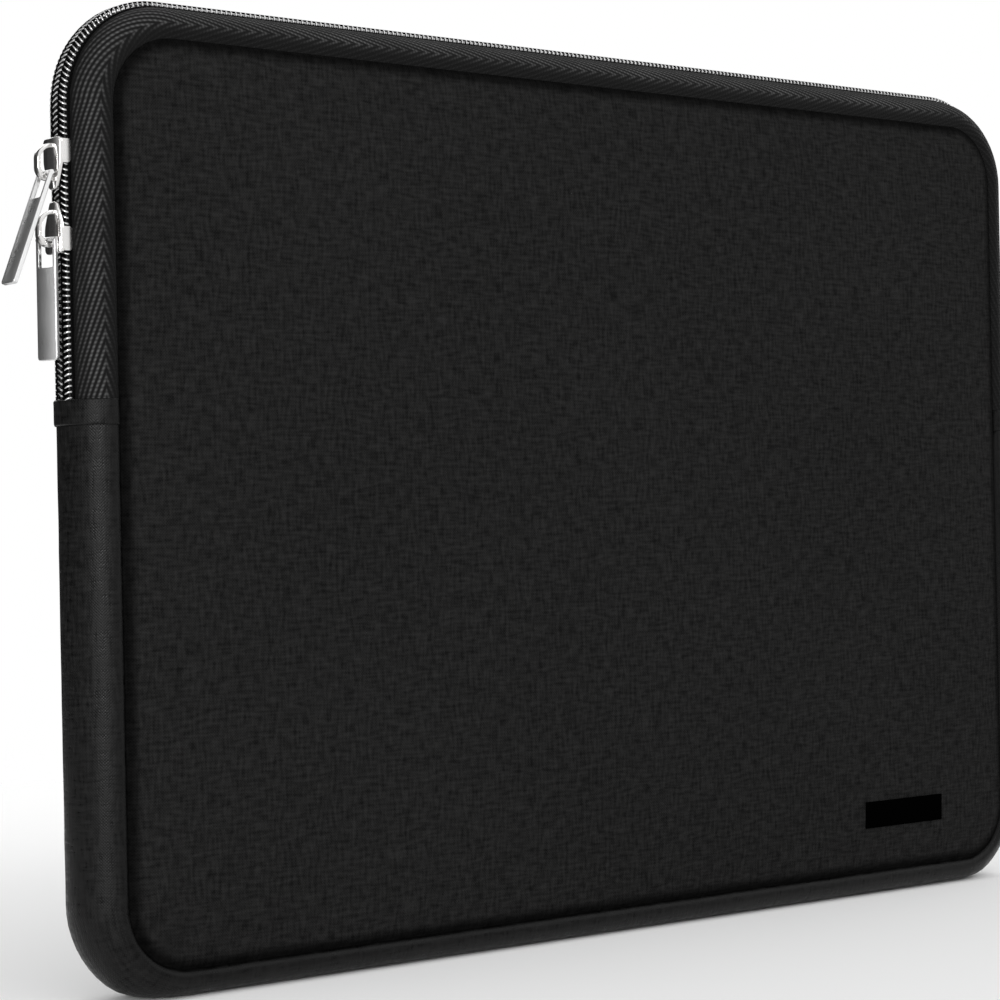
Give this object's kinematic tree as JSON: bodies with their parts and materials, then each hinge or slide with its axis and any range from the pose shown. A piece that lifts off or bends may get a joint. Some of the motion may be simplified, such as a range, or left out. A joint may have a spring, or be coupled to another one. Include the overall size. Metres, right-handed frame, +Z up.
{
  "type": "laptop sleeve",
  "caption": "Slim padded fabric laptop sleeve with a coil zip round its upper edge, metal zip sliders with hinged flat pulls, canvas gusset and blank label.",
  "frame": {"origin": "middle of the flat base of the gusset, with the sleeve standing upright", "axes": "+Z up along the height, +X along the width away from the zip sliders, front panel with the label faces -Y"},
  "size_m": [0.3816, 0.0255, 0.2659],
  "materials": {
    "canvas": "charcoal plain-weave canvas, matt",
    "foam": "closed-cell padding, matt",
    "lining": "short-pile plush lining, matt",
    "zip_tape": "herringbone twill tape, matt",
    "zip_coil": "metallised coil teeth stitched on black",
    "core_cord": "braided cord, matt",
    "end_band": "folded canvas band, matt",
    "binding": "ribbed binding tape, matt",
    "label": "blank woven label, matt",
    "nickel": "satin nickel plate"
  },
  "bodies": {
    "root": {"front_panel": "canvas", "rear_panel": "canvas", "lower_gusset": "canvas", "front_foam": "foam", "rear_foam": "foam", "lower_gusset_foam": "foam", "front_lining": "lining", "rear_lining": "lining", "lower_gusset_lining": "lining", "front_seam_binding": "binding", "rear_seam_binding": "binding", "zip_tape_front": "zip_tape", "zip_tape_rear": "zip_tape", "zip_coil_front": "zip_coil", "zip_coil_rear": "zip_coil", "zip_core_front": "core_cord", "zip_core_rear": "core_cord", "left_end_tab": "end_band", "right_end_tab": "end_band", "blank_label": "label"},
    "slider_upper": {"slider_upper_body": "nickel", "slider_upper_bail": "nickel"},
    "pull_upper": {"pull_upper": "nickel"},
    "slider_lower": {"slider_lower_body": "nickel", "slider_lower_bail": "nickel"},
    "pull_lower": {"pull_lower": "nickel"}
  },
  "joints": [
    {"name": "slider_upper_slide", "type": "slide", "parent": "root", "child": "slider_upper", "axis": [0, 0, 1], "range_m": [0, 0.008]},
    {"name": "slider_lower_slide", "type": "slide", "parent": "root", "child": "slider_lower", "axis": [0, 0, 1], "range_m": [-0.037, 0]},
    {"name": "pull_upper_swing", "type": "hinge", "parent": "slider_upper", "child": "pull_upper", "pos_m": [-0.1864, 0, 0.218], "axis": [0, 1, 0], "range_deg": [-2, 70]},
    {"name": "pull_lower_swing", "type": "hinge", "parent": "slider_lower", "child": "pull_lower", "pos_m": [-0.1864, 0, 0.2006], "axis": [-0.2756, 0.9613, 0], "range_deg": [0, 28]}
  ]
}
